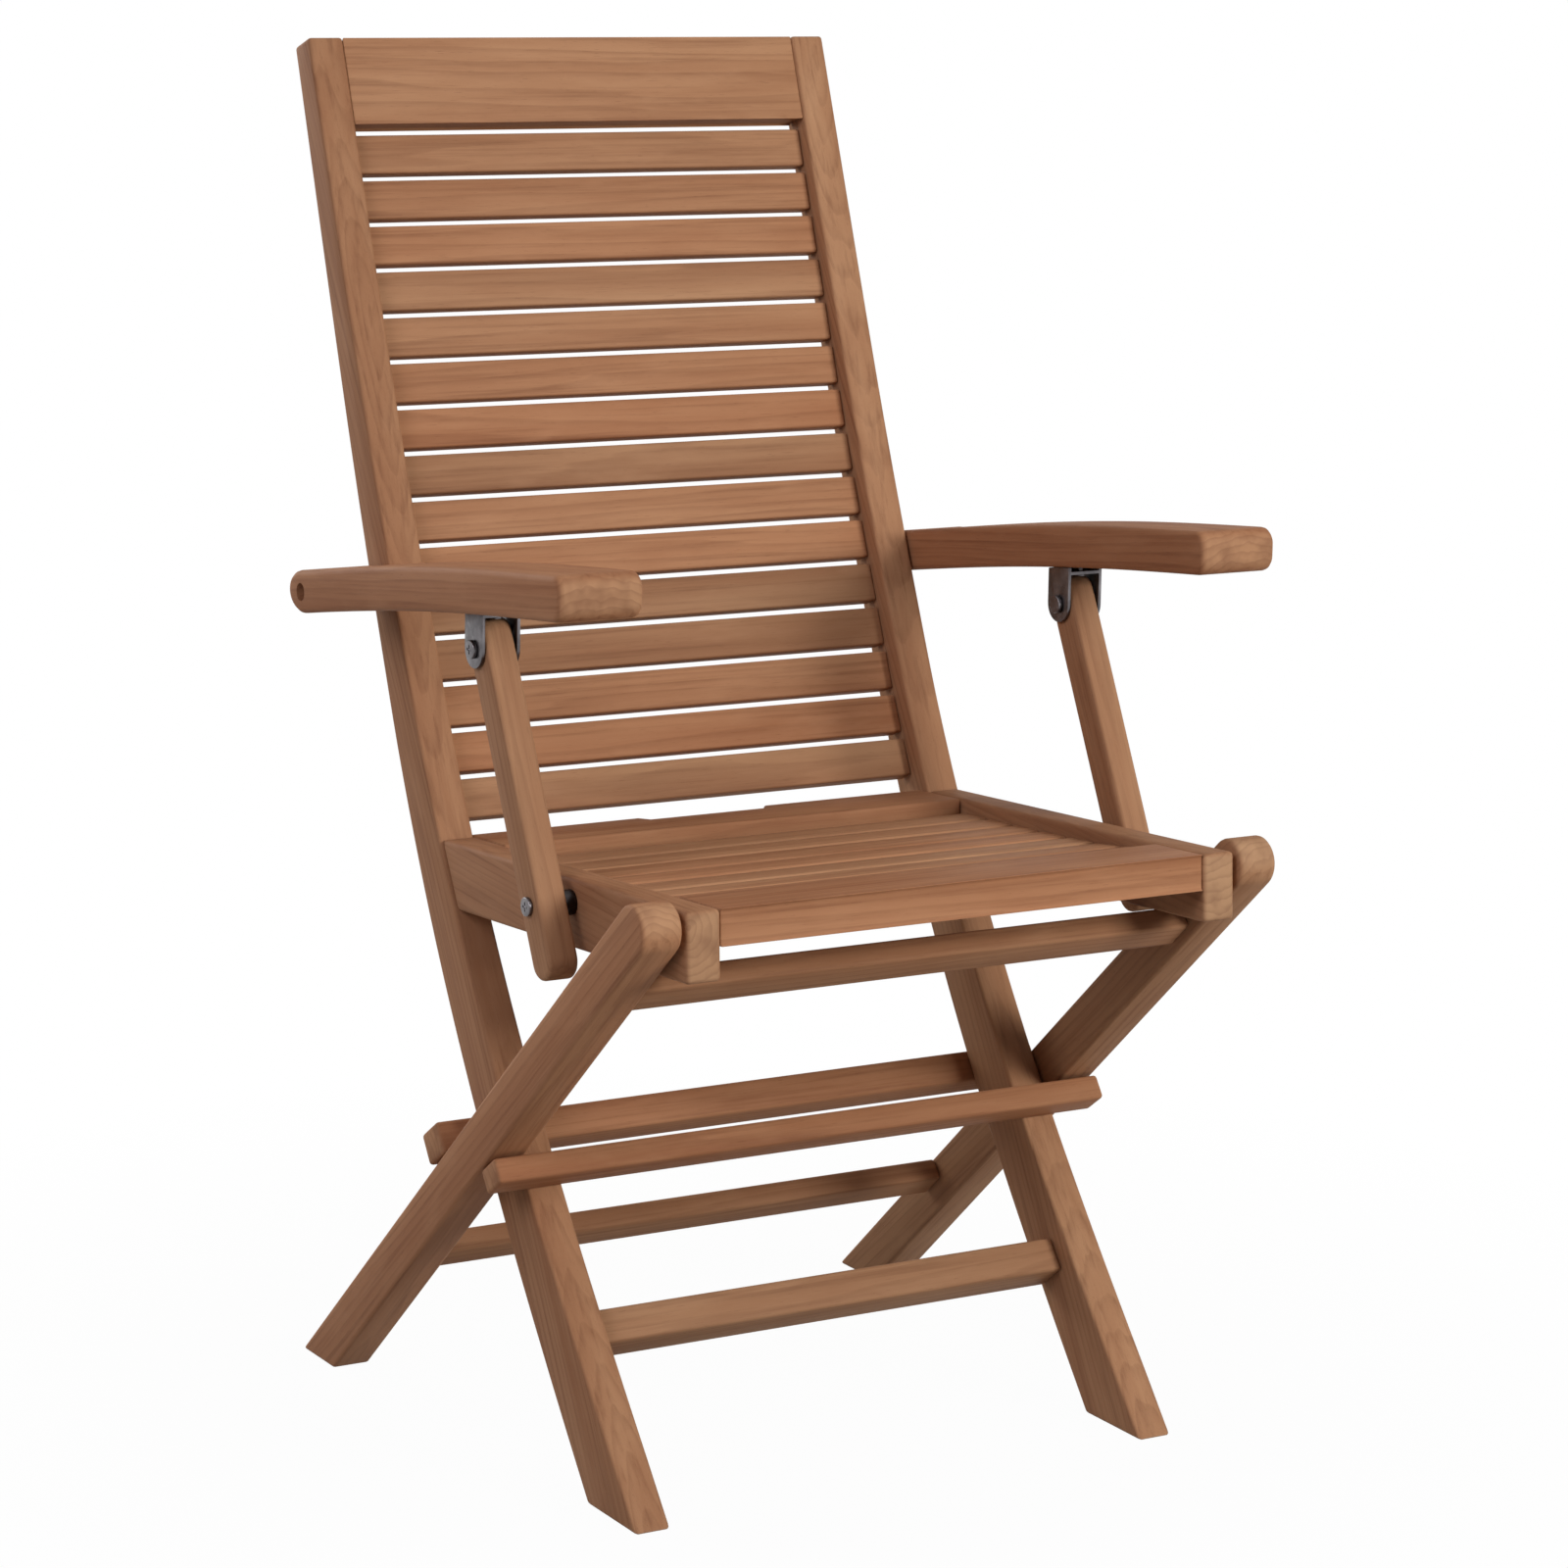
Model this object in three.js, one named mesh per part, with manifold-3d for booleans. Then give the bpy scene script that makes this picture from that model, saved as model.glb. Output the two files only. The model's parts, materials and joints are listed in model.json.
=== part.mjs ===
// Folding teak armchair: a curved back frame and a pair of straight legs crossing like scissors, a slatted
// seat hung on the legs, and two arms on folding struts. Millimetres, +Z up, the chair faces -Y.
import * as THREE from 'three';
import { mergeVertices } from 'three/addons/utils/BufferGeometryUtils.js';
import Module from 'manifold-3d';

const wasm = await Module();
wasm.setup();

// Widths, as distances from the middle plane
const stileInner = 203.5;
const stileThick = 29.3;
const laneGap = 2.2;
const legThick = 32;
const strutSpacer = 10.5;
const strutThick = 24;
const armWidth = 66;

// Back frame, side view: the stile's middle line from the foot to the top, and its depth
const stileHeight = 1035.5;
const stileRun = 534;
const stileFootY = -243.5;
const stileHeightShares = [0, 0.09, 0.18, 0.27, 0.36, 0.45, 0.54, 0.72, 1];
const stileRunShares = [0, 0.143, 0.278, 0.399, 0.506, 0.597, 0.674, 0.81, 1];
const stileFootDepth = 57;
const stileTopDepth = 27.5;
const stileSteps = 40;

// Back panel
const topRailTall = 70.6;
const topRailSetback = 2;
const topRailThick = 22;
const backSlatCount = 15;
const backSlatTall = 31;
const backSlatGap = 5.8;
const backSlatThick = 15;
const backSlatSetbackShare = 0.4;

// Crossing bars and stretchers
const crossHeight = 226;
const barReach = 266;
const frontBarTall = 19.5;
const frontBarDeep = 26;
const rearBarTall = 25;
const rearBarDeep = 30;
const frontStretcherTall = 27;
const frontStretcherThick = 33;
const frontStretcherHeight = 110;
const frontStretcherSetback = 16;

// Rear legs
const legDepth = 38.5;
const seatPivotY = -323.6;
const seatPivotHeight = 454;
const upperStretcherTall = 29.5;
const upperStretcherThick = 18;
const upperStretcherFromTop = 68.2;
const upperStretcherForward = 13;
const rearStretcherTall = 28;
const rearStretcherThick = 18;
const rearStretcherFromCross = 164.2;

// Seat
const railThick = 27.5;
const railDepth = 51;
const railSlope = 0.055;
const pivotBelowRailTop = 12.5;
const railFrontOverhang = 16;
const frontBoardDeep = 61;
const frontBoardTall = 27;
const rearBoardDeep = 60;
const rearBoardThick = 14;
const rearBoardOverhang = 10;
const notchWide = 102;
const notchDeep = 11;
const notchRunIn = 9;
const seatSlatCount = 7;
const seatSlatGap = 6;
const seatSlatThick = 14;
const seatSlatDrop = 10.5;
const seatSlatDropShares = [1, 1, 1, 0.97, 0.92, 0.8, 0.5];

// Arms and struts
const armPivotHeight = 626;
const armLength = 448;
const armTall = 33;
const armPivotInset = 23;
const armRise = 54.5;
const armCrown = 4.8;
const armNose = 12;
const strutDepth = 28;
const strutTopY = -87;
const strutTopDrop = 29;
const strutFootBack = 153;
const strutFootDrop = 17;
const strutTail = 55;
const strutTopRadius = 14;
const strutHead = 8;

// Metal: pins, bolts, brackets and screws
const pinRadius = 5;
const pinEntry = 13;
const bolt = { radius: 4, headTall: 4, recessRadius: 7, recessDeep: 12, socketRadius: 3.2, socketDeep: 2.4 };
const strutBoltHead = { radius: 7, tall: 3.2 };
const spacerRadius = 9.5;
const bracket = { wide: 28, sheet: 2.4, clear: 1 };
const screw = { radius: 2.2, length: 16, headRadius: 4, headTall: 1.8, spread: 14 };

// Joinery: tenons in mortises, and the gap that keeps neighbours apart
const fit = 0.3;
const tenonLength = 12;
const tenonShoulder = 4;
const roundSides = 20;
const endSteps = 14;
const overrun = 4;
const halvings = 30;

const stileOuter = stileInner + stileThick;
const legInner = stileOuter + laneGap;
const legOuter = legInner + legThick;
const railOuter = stileInner + railThick;
const strutInner = railOuter + strutSpacer;
const strutOuter = strutInner + strutThick;
const armInner = stileOuter + laneGap;
const armOuter = armInner + armWidth;

const teak = { color: 0xb0825e, roughness: 0.62, metalness: 0 };
const teakDark = { color: 0x9c7152, roughness: 0.66, metalness: 0 };
const steel = { color: 0x9a9ca0, roughness: 0.34, metalness: 1 };

const group = new THREE.Group();

function addNode(name, geometry, finish) {
  const mesh = new THREE.Mesh(geometry, new THREE.MeshStandardMaterial(finish));
  mesh.name = name;
  group.add(mesh);
}

// Booleans on closed geometries

function toSolid(geometry) {
  const bare = geometry.clone();
  bare.deleteAttribute('normal');
  bare.deleteAttribute('uv');
  const welded = mergeVertices(bare);
  const mesh = new wasm.Mesh({
    numProp: 3,
    vertProperties: new Float32Array(welded.attributes.position.array),
    triVerts: new Uint32Array(welded.index.array),
  });
  return new wasm.Manifold(mesh);
}

function toGeometry(solid) {
  const mesh = solid.getMesh();
  const geometry = new THREE.BufferGeometry();
  geometry.setAttribute('position', new THREE.BufferAttribute(mesh.vertProperties, 3));
  geometry.setIndex(new THREE.BufferAttribute(mesh.triVerts, 1));
  return geometry;
}

function combine(base, joined, removed) {
  let solid = toSolid(base);
  for (const piece of joined) {
    solid = solid.add(toSolid(piece));
  }
  for (const piece of removed) {
    solid = solid.subtract(toSolid(piece));
  }
  return toGeometry(solid);
}

// A prism across the chair: the outline's x is the chair's Y and its y is the chair's Z

const acrossChair = new THREE.Matrix4().makeBasis(
  new THREE.Vector3(0, 1, 0),
  new THREE.Vector3(0, 0, 1),
  new THREE.Vector3(1, 0, 0),
);

function prism(points, fromX, toX) {
  const geometry = new THREE.ExtrudeGeometry(new THREE.Shape(points), { depth: toX - fromX, bevelEnabled: false });
  geometry.translate(0, 0, fromX);
  return geometry.applyMatrix4(acrossChair);
}

function pairedPrism(points, innerX, outerX, side) {
  return side < 0 ? prism(points, -outerX, -innerX) : prism(points, innerX, outerX);
}

function rod(centre, radius, innerX, outerX, side) {
  const length = outerX - innerX;
  const geometry = new THREE.CylinderGeometry(radius, radius, length, roundSides);
  geometry.rotateZ(-Math.PI / 2);
  return geometry.translate((side * (innerX + outerX)) / 2, centre.x, centre.y);
}

// A rectangle in the side view: its centre, its long direction and its two sizes

function rectangle(centre, along, long, short) {
  const across = new THREE.Vector2(-along.y, along.x);
  const corner = (a, b) => centre.clone().addScaledVector(along, (a * long) / 2).addScaledVector(across, (b * short) / 2);
  return [corner(-1, -1), corner(1, -1), corner(1, 1), corner(-1, 1)];
}

function arcPoints(centre, radius, fromAngle, toAngle, steps) {
  const points = [];
  for (let i = 0; i <= steps; i += 1) {
    const angle = fromAngle + ((toAngle - fromAngle) * i) / steps;
    points.push(new THREE.Vector2(centre.x + radius * Math.cos(angle), centre.y + radius * Math.sin(angle)));
  }
  return points;
}

// A straight cross bar with a tenon at each end, between two faces at plus and minus halfWidth

function crossBar(centre, along, long, short, halfWidth) {
  const shoulder = halfWidth - fit;
  const reach = halfWidth + tenonLength;
  const body = prism(rectangle(centre, along, long, short), -shoulder, shoulder);
  const tenon = prism(rectangle(centre, along, long - tenonShoulder, short - tenonShoulder), -reach, reach);
  return combine(body, [tenon], []);
}

function mortise(centre, along, long, short, innerX, side) {
  const outline = rectangle(centre, along, long - tenonShoulder + fit * 2, short - tenonShoulder + fit * 2);
  return pairedPrism(outline, innerX - overrun, innerX + tenonLength + fit, side);
}

// The stile's middle line as a curve, and points off it

const stileLine = new THREE.SplineCurve(
  stileHeightShares.map((share, i) => new THREE.Vector2(stileFootY + stileRun * stileRunShares[i], stileHeight * share)),
);

function stilePoint(t, offset) {
  const tangent = stileLine.getTangentAt(t);
  const forward = new THREE.Vector2(-tangent.y, tangent.x);
  return stileLine.getPointAt(t).addScaledVector(forward, offset);
}

function stileHalfDepth(t) {
  return (stileFootDepth + (stileTopDepth - stileFootDepth) * t) / 2;
}

// The place between two shares where a test that is true at the first turns false

function turningShare(first, last, test) {
  let near = first;
  let far = last;
  for (let i = 0; i < halvings; i += 1) {
    const middle = (near + far) / 2;
    if (test(middle)) {
      near = middle;
    } else {
      far = middle;
    }
  }
  return near;
}

function stileShareAt(height) {
  return turningShare(0, 1, (share) => stileLine.getPointAt(share).y < height);
}

function stileOutline() {
  const slideToFloor = (point) => {
    const tangent = stileLine.getTangentAt(0);
    return point.addScaledVector(tangent, -point.y / tangent.y);
  };
  const front = [slideToFloor(stilePoint(0, stileHalfDepth(0)))];
  const rear = [slideToFloor(stilePoint(0, -stileHalfDepth(0)))];
  for (let i = 1; i <= stileSteps; i += 1) {
    const t = i / stileSteps;
    const behind = stilePoint(t, -stileHalfDepth(t));
    front.push(stilePoint(t, stileHalfDepth(t)));
    if (behind.y > 0) {
      rear.push(behind);
    }
  }
  return [...rear, ...front.reverse()];
}

const crossShare = stileShareAt(crossHeight);
const crossPoint = stileLine.getPointAt(crossShare);
const stileLength = stileLine.getLength();

// Places along the stile, measured from its top end

function fromTop(distance) {
  return 1 - distance / stileLength;
}

const backBars = [
  {
    name: 'top_rail',
    share: fromTop(topRailTall / 2),
    tall: topRailTall,
    thick: topRailThick,
    setback: topRailSetback,
  },
];
for (let i = 0; i < backSlatCount; i += 1) {
  const share = fromTop(topRailTall + (backSlatTall + backSlatGap) * (i + 1) - backSlatTall / 2);
  backBars.push({
    name: `back_slat_${String(i + 1).padStart(2, '0')}`,
    share,
    tall: backSlatTall,
    thick: backSlatThick,
    setback: stileHalfDepth(share) * 2 * backSlatSetbackShare,
  });
}
for (const bar of backBars) {
  bar.centre = stilePoint(bar.share, stileHalfDepth(bar.share) - bar.setback - bar.thick / 2);
  bar.along = stileLine.getTangentAt(bar.share);
}

// The rear leg's frame: its middle line runs from the crossing up to the seat pivot

const seatPivot = new THREE.Vector2(seatPivotY, seatPivotHeight);
const legUp = seatPivot.clone().sub(crossPoint).normalize();
const legForward = new THREE.Vector2(-legUp.y, legUp.x);

function legPoint(along, forward) {
  return crossPoint.clone().addScaledVector(legUp, along).addScaledVector(legForward, forward);
}

function legOutline() {
  const half = legDepth / 2;
  const footAt = (forward) => {
    const point = legPoint(0, forward);
    return point.addScaledVector(legUp, -point.y / legUp.y);
  };
  const angle = Math.atan2(legUp.y, legUp.x);
  const top = arcPoints(seatPivot, half, angle - Math.PI / 2, angle + Math.PI / 2, endSteps);
  return [footAt(-half), ...top, footAt(half)];
}

const legToPivot = seatPivot.distanceTo(crossPoint);
const upperStretcher = legPoint(
  legToPivot - upperStretcherFromTop - upperStretcherTall / 2,
  upperStretcherForward - upperStretcherThick / 2,
);
const rearStretcher = legPoint(-rearStretcherFromCross - rearStretcherTall / 2, -rearStretcherThick / 2);

// Stile nodes with mortises for the slats, rail and stretcher, and bores for the pins

const stretcherShare = stileShareAt(frontStretcherHeight);
const frontStretcher = {
  centre: stilePoint(stretcherShare, stileHalfDepth(stretcherShare) - frontStretcherSetback - frontStretcherThick / 2),
  along: stileLine.getTangentAt(stretcherShare),
};
const armPivot = stileLine.getPointAt(stileShareAt(armPivotHeight));

function addBackFrame() {
  for (const [label, side] of [['left', -1], ['right', 1]]) {
    const mortises = backBars.map((bar) => mortise(bar.centre, bar.along, bar.tall, bar.thick, stileInner, side));
    mortises.push(
      mortise(frontStretcher.centre, frontStretcher.along, frontStretcherTall, frontStretcherThick, stileInner, side),
      rod(crossPoint, pinRadius + fit, stileOuter - pinEntry - fit, stileOuter + overrun, side),
      rod(armPivot, bolt.radius + fit, stileOuter - pinEntry - fit, stileOuter + overrun, side),
    );
    const blank = pairedPrism(stileOutline(), stileInner, stileOuter, side);
    addNode(`stile_${label}`, combine(blank, [], mortises), teak);
    addNode(`leg_pivot_pin_${label}`, rod(crossPoint, pinRadius, stileOuter - pinEntry, legInner + pinEntry, side), steel);
    addArmBolt(label, side);
  }
  for (const bar of backBars) {
    addNode(bar.name, crossBar(bar.centre, bar.along, bar.tall, bar.thick, stileInner), teak);
  }
  addNode(
    'front_stretcher',
    crossBar(frontStretcher.centre, frontStretcher.along, frontStretcherTall, frontStretcherThick, stileInner),
    teakDark,
  );
}

// The arm bolt: a shank into the stile and a round head sunk in the arm's outer face

function addArmBolt(label, side) {
  const headInner = armOuter - bolt.recessDeep;
  const shank = rod(armPivot, bolt.radius, stileOuter - pinEntry, headInner + fit, side);
  const head = rod(armPivot, bolt.recessRadius - fit, headInner, headInner + bolt.headTall, side);
  const socket = rod(armPivot, bolt.socketRadius, headInner + bolt.headTall - bolt.socketDeep, armOuter, side);
  addNode(`arm_bolt_${label}`, combine(shank, [head], [socket]), steel);
}

// Stop bars lie on the stiles' faces: the front one just under the leg, the rear one just over it

function barOutline(share, facing, tall, deep) {
  const out = stileHalfDepth(share) + fit + deep / 2;
  return rectangle(stilePoint(share, facing * out), stileLine.getTangentAt(share), tall, deep);
}

function clearOfLeg(outline, facing) {
  const gaps = outline.map((corner) => facing * corner.clone().sub(crossPoint).dot(legForward) - legDepth / 2);
  return Math.min(...gaps);
}

function stopBar(facing, tall, deep) {
  const farShare = crossShare - (facing * (legDepth + tall)) / stileLength;
  const share = turningShare(farShare, crossShare, (place) => clearOfLeg(barOutline(place, facing, tall, deep), facing) > fit);
  return prism(barOutline(share, facing, tall, deep), -barReach, barReach);
}

function addStopBars() {
  addNode('stop_bar_front', stopBar(1, frontBarTall, frontBarDeep), teak);
  addNode('stop_bar_rear', stopBar(-1, rearBarTall, rearBarDeep), teakDark);
}

function addRearLegs() {
  for (const [label, side] of [['left', -1], ['right', 1]]) {
    const cuts = [
      mortise(upperStretcher, legUp, upperStretcherTall, upperStretcherThick, legInner, side),
      mortise(rearStretcher, legUp, rearStretcherTall, rearStretcherThick, legInner, side),
      rod(crossPoint, pinRadius + fit, legInner - overrun, legInner + pinEntry + fit, side),
      rod(seatPivot, pinRadius + fit, legInner - overrun, legInner + pinEntry + fit, side),
    ];
    const blank = pairedPrism(legOutline(), legInner, legOuter, side);
    addNode(`rear_leg_${label}`, combine(blank, [], cuts), teak);
    addNode(`seat_pivot_pin_${label}`, rod(seatPivot, pinRadius, railOuter - pinEntry, legInner + pinEntry, side), steel);
  }
  addNode('upper_stretcher', crossBar(upperStretcher, legUp, upperStretcherTall, upperStretcherThick, legInner), teakDark);
  addNode('rear_stretcher', crossBar(rearStretcher, legUp, rearStretcherTall, rearStretcherThick, legInner), teakDark);
}

// The seat's frame: back runs rearwards along the rail's top, up is square to it

const seatBack = new THREE.Vector2(1, -railSlope).normalize();
const seatUp = new THREE.Vector2(-seatBack.y, seatBack.x);

function seatPoint(back, up) {
  return seatPivot.clone().addScaledVector(seatBack, back).addScaledVector(seatUp, up);
}

// The rail's rear end follows the stile's front face, a fit away from it

function stileFrontAt(up) {
  let best = null;
  for (let i = 0; i < stileSteps; i += 1) {
    const a = stilePoint(i / stileSteps, stileHalfDepth(i / stileSteps)).sub(seatPivot);
    const b = stilePoint((i + 1) / stileSteps, stileHalfDepth((i + 1) / stileSteps)).sub(seatPivot);
    const share = (up - a.dot(seatUp)) / (b.dot(seatUp) - a.dot(seatUp));
    if (share >= 0 && share <= 1) {
      best = a.dot(seatBack) + share * (b.dot(seatBack) - a.dot(seatBack));
    }
  }
  return best;
}

const railTop = pivotBelowRailTop;
const railBottom = pivotBelowRailTop - railDepth;
const railFront = -railFrontOverhang;
const railRearTop = stileFrontAt(railTop) - fit * 2;
const railRearBottom = stileFrontAt(railBottom) - fit * 2;
const rearBoardEnd = railRearTop + rearBoardOverhang;
const rearBoardStart = rearBoardEnd - rearBoardDeep;
const frontBoardEnd = railFront + frontBoardDeep;
const slatPitch = (rearBoardStart - frontBoardEnd - seatSlatGap) / seatSlatCount;
const slatWide = slatPitch - seatSlatGap;

function seatSlat(index) {
  const back = rearBoardStart - seatSlatGap - slatWide / 2 - index * slatPitch;
  const dropHere = seatSlatDrop * seatSlatDropShares[index];
  const dropNext = seatSlatDrop * (seatSlatDropShares[index + 1] ?? 0);
  const dropBefore = seatSlatDrop * (seatSlatDropShares[index - 1] ?? 1);
  const tilt = (dropNext - dropBefore) / (slatPitch * 2);
  const along = seatBack.clone().addScaledVector(seatUp, tilt).normalize();
  return { centre: seatPoint(back, railTop - dropHere - seatSlatThick / 2), along };
}

const seatSlats = Array.from({ length: seatSlatCount }, (_, index) => seatSlat(index));
const frontBoard = {
  centre: seatPoint(railFront + frontBoardDeep / 2, railTop - frontBoardTall / 2),
  along: seatBack,
};
const rearBoard = {
  centre: seatPoint((rearBoardStart + rearBoardEnd) / 2, railTop - rearBoardThick / 2),
  along: seatBack,
};

function rearBoardNotch() {
  const half = notchWide / 2;
  const shape = new THREE.Shape([
    new THREE.Vector2(-half - notchRunIn, overrun * 2),
    new THREE.Vector2(-half, -notchDeep),
    new THREE.Vector2(half, -notchDeep),
    new THREE.Vector2(half + notchRunIn, overrun * 2),
  ]);
  const geometry = new THREE.ExtrudeGeometry(shape, { depth: railDepth * 2, bevelEnabled: false });
  geometry.translate(0, 0, -railDepth);
  geometry.rotateX(Math.atan2(seatBack.y, seatBack.x));
  const end = seatPoint(rearBoardEnd, railTop);
  return geometry.translate(0, end.x, end.y);
}

// The rear board fills the width between the rails, and its overhang passes between the stiles

function rearBoardGeometry() {
  const shoulder = stileInner - fit * 3;
  const tenonDeep = rearBoardDeep - rearBoardOverhang - tenonShoulder * 3;
  const tenonCentre = seatPoint(rearBoardStart + tenonShoulder + tenonDeep / 2, railTop - rearBoardThick / 2);
  const reach = stileInner + tenonLength;
  const body = prism(rectangle(rearBoard.centre, seatBack, rearBoardDeep, rearBoardThick), -shoulder, shoulder);
  const tenon = prism(rectangle(tenonCentre, seatBack, tenonDeep, rearBoardThick - tenonShoulder), -reach, reach);
  const holes = [-1, 1].map((side) =>
    pairedPrism(
      rectangle(tenonCentre, seatBack, tenonDeep + fit * 2, rearBoardThick - tenonShoulder + fit * 2),
      stileInner - overrun,
      reach + fit,
      side,
    ),
  );
  return { board: combine(body, [tenon], [rearBoardNotch()]), holes };
}

function railOutline() {
  return [
    seatPoint(railFront, railBottom),
    seatPoint(railRearBottom, railBottom),
    seatPoint(railRearTop, railTop),
    seatPoint(railFront, railTop),
  ];
}

const strutFoot = seatPoint(strutFootBack, railTop - strutFootDrop);

function addSeat() {
  const rear = rearBoardGeometry();
  for (const [index, [label, side]] of [['left', -1], ['right', 1]].entries()) {
    const cuts = seatSlats.map((slat) => mortise(slat.centre, slat.along, slatWide, seatSlatThick, stileInner, side));
    cuts.push(
      mortise(frontBoard.centre, frontBoard.along, frontBoardDeep, frontBoardTall, stileInner, side),
      rear.holes[index],
      rod(seatPivot, pinRadius + fit, railOuter - pinEntry - fit, railOuter + overrun, side),
    );
    const blank = pairedPrism(railOutline(), stileInner, railOuter, side);
    addNode(`seat_rail_${label}`, combine(blank, [], cuts), teak);
    addNode(`strut_spacer_${label}`, rod(strutFoot, spacerRadius, railOuter + fit, strutInner - fit, side), steel);
  }
  addNode('seat_front_board', crossBar(frontBoard.centre, seatBack, frontBoardDeep, frontBoardTall, stileInner), teak);
  addNode('seat_rear_board', rear.board, teak);
  seatSlats.forEach((slat, index) => {
    addNode(`seat_slat_${index + 1}`, crossBar(slat.centre, slat.along, slatWide, seatSlatThick, stileInner), teak);
  });
}

// The arm: a crowned board, rounded at the stile, with a bullnose in front

const armReach = armLength - armPivotInset;

function armMiddle(share) {
  const height = armPivot.y + armRise * share + armCrown * Math.sin(Math.PI * share);
  return new THREE.Vector2(armPivot.x - share * armReach, height);
}

function armOutline() {
  const half = armTall / 2;
  const top = [];
  const bottom = [];
  const lastShare = 1 - armNose / armReach;
  for (let i = 0; i <= endSteps; i += 1) {
    const share = (lastShare * i) / endSteps;
    const point = armMiddle(share);
    top.push(point.clone().add(new THREE.Vector2(0, half)));
    bottom.push(point.clone().add(new THREE.Vector2(0, -half)));
  }
  const end = armMiddle(lastShare);
  const noseSide = half - armNose;
  const noseTop = arcPoints(new THREE.Vector2(end.x, end.y + noseSide), armNose, Math.PI / 2, Math.PI, endSteps / 2);
  const noseBottom = arcPoints(new THREE.Vector2(end.x, end.y - noseSide), armNose, Math.PI, (Math.PI * 3) / 2, endSteps / 2);
  const rearShape = new THREE.EllipseCurve(armPivot.x, armPivot.y, armPivotInset, half, -Math.PI / 2, Math.PI / 2, false);
  const rear = rearShape.getPoints(endSteps).slice(1, -1);
  return [...rear, ...top.slice(0, -1), ...noseTop, ...noseBottom, ...bottom.slice(0, -1).reverse()];
}

function armUndersideAt(y) {
  return armMiddle((armPivot.x - y) / armReach).y - armTall / 2;
}

const strutTop = new THREE.Vector2(strutTopY, armUndersideAt(strutTopY) - strutTopDrop);

// The bracket's lugs follow the arm's underside; its plate lies just under the lower of their two corners

function underArm(y) {
  return new THREE.Vector2(y, armUndersideAt(y) - fit);
}

function bracketPlateTop() {
  const ends = [-1, 1].map((end) => underArm(strutTop.x + (end * bracket.wide) / 2).y);
  return Math.min(...ends);
}

// The strut's bracket: a steel channel under the arm with a rounded lug on each side of the strut

function bracketGeometry(side) {
  const plateTop = bracketPlateTop();
  const lug = [
    underArm(strutTop.x + bracket.wide / 2),
    underArm(strutTop.x - bracket.wide / 2),
    ...arcPoints(strutTop, bracket.wide / 2, Math.PI, Math.PI * 2, endSteps),
  ];
  const innerFace = strutInner - bracket.clear;
  const outerFace = strutOuter + bracket.clear;
  const plate = [
    new THREE.Vector2(strutTop.x - bracket.wide / 2, plateTop - bracket.sheet),
    new THREE.Vector2(strutTop.x + bracket.wide / 2, plateTop - bracket.sheet),
    new THREE.Vector2(strutTop.x + bracket.wide / 2, plateTop),
    new THREE.Vector2(strutTop.x - bracket.wide / 2, plateTop),
  ];
  const holes = [-1, 1].map((end) => screwHole(plateTop, end, side));
  const bore = rod(strutTop, bolt.radius + fit, innerFace - overrun * 2, outerFace + overrun * 2, side);
  return combine(
    pairedPrism(plate, innerFace - bracket.sheet, outerFace + bracket.sheet, side),
    [
      pairedPrism(lug, innerFace - bracket.sheet, innerFace, side),
      pairedPrism(lug, outerFace, outerFace + bracket.sheet, side),
    ],
    [...holes, bore],
  );
}

function screwPlace(end, side) {
  const along = strutTop.x + (end * screw.spread) / 2;
  return new THREE.Vector2((side * (strutInner + strutOuter)) / 2, along);
}

function upright(radius, fromZ, toZ, place) {
  const geometry = new THREE.CylinderGeometry(radius, radius, toZ - fromZ, roundSides);
  geometry.rotateX(Math.PI / 2);
  return geometry.translate(place.x, place.y, (fromZ + toZ) / 2);
}

function screwHole(plateTop, end, side) {
  return upright(screw.radius + fit, plateTop - bracket.sheet * 3, plateTop + screw.length, screwPlace(end, side));
}

function bracketScrew(end, side) {
  const plateTop = bracketPlateTop();
  const headTop = plateTop - bracket.sheet - fit;
  const place = screwPlace(end, side);
  const shank = upright(screw.radius, headTop - screw.headTall / 2, plateTop + screw.length - fit, place);
  return combine(shank, [upright(screw.headRadius, headTop - screw.headTall, headTop, place)], []);
}

function addArms() {
  for (const [label, side] of [['left', -1], ['right', 1]]) {
    const cuts = [
      rod(armPivot, bolt.radius + fit, armInner - overrun, armOuter, side),
      rod(armPivot, bolt.recessRadius, armOuter - bolt.recessDeep - fit, armOuter + overrun, side),
      ...[-1, 1].map((end) => screwHole(bracketPlateTop(), end, side)),
    ];
    addNode(`armrest_${label}`, combine(pairedPrism(armOutline(), armInner, armOuter, side), [], cuts), teak);
    addNode(`strut_bracket_${label}`, bracketGeometry(side), steel);
    addNode(`bracket_screw_${label}_front`, bracketScrew(-1, side), steel);
    addNode(`bracket_screw_${label}_rear`, bracketScrew(1, side), steel);
    addNode(`bracket_bolt_${label}`, bracketBolt(side), steel);
  }
}

function bracketBolt(side) {
  const innerFace = strutInner - bracket.clear - bracket.sheet;
  const outerFace = strutOuter + bracket.clear + bracket.sheet;
  const shank = rod(strutTop, bolt.radius, innerFace - strutBoltHead.tall / 2, outerFace + strutBoltHead.tall / 2, side);
  const heads = [
    rod(strutTop, strutBoltHead.radius, innerFace - strutBoltHead.tall - fit, innerFace - fit, side),
    rod(strutTop, strutBoltHead.radius, outerFace + fit, outerFace + fit + strutBoltHead.tall, side),
  ];
  return combine(shank, heads, []);
}

// The strut: a straight bar rounded at the bracket and at its tail, which rests on the rear leg

const strutDown = strutFoot.clone().sub(strutTop).normalize();

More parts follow.
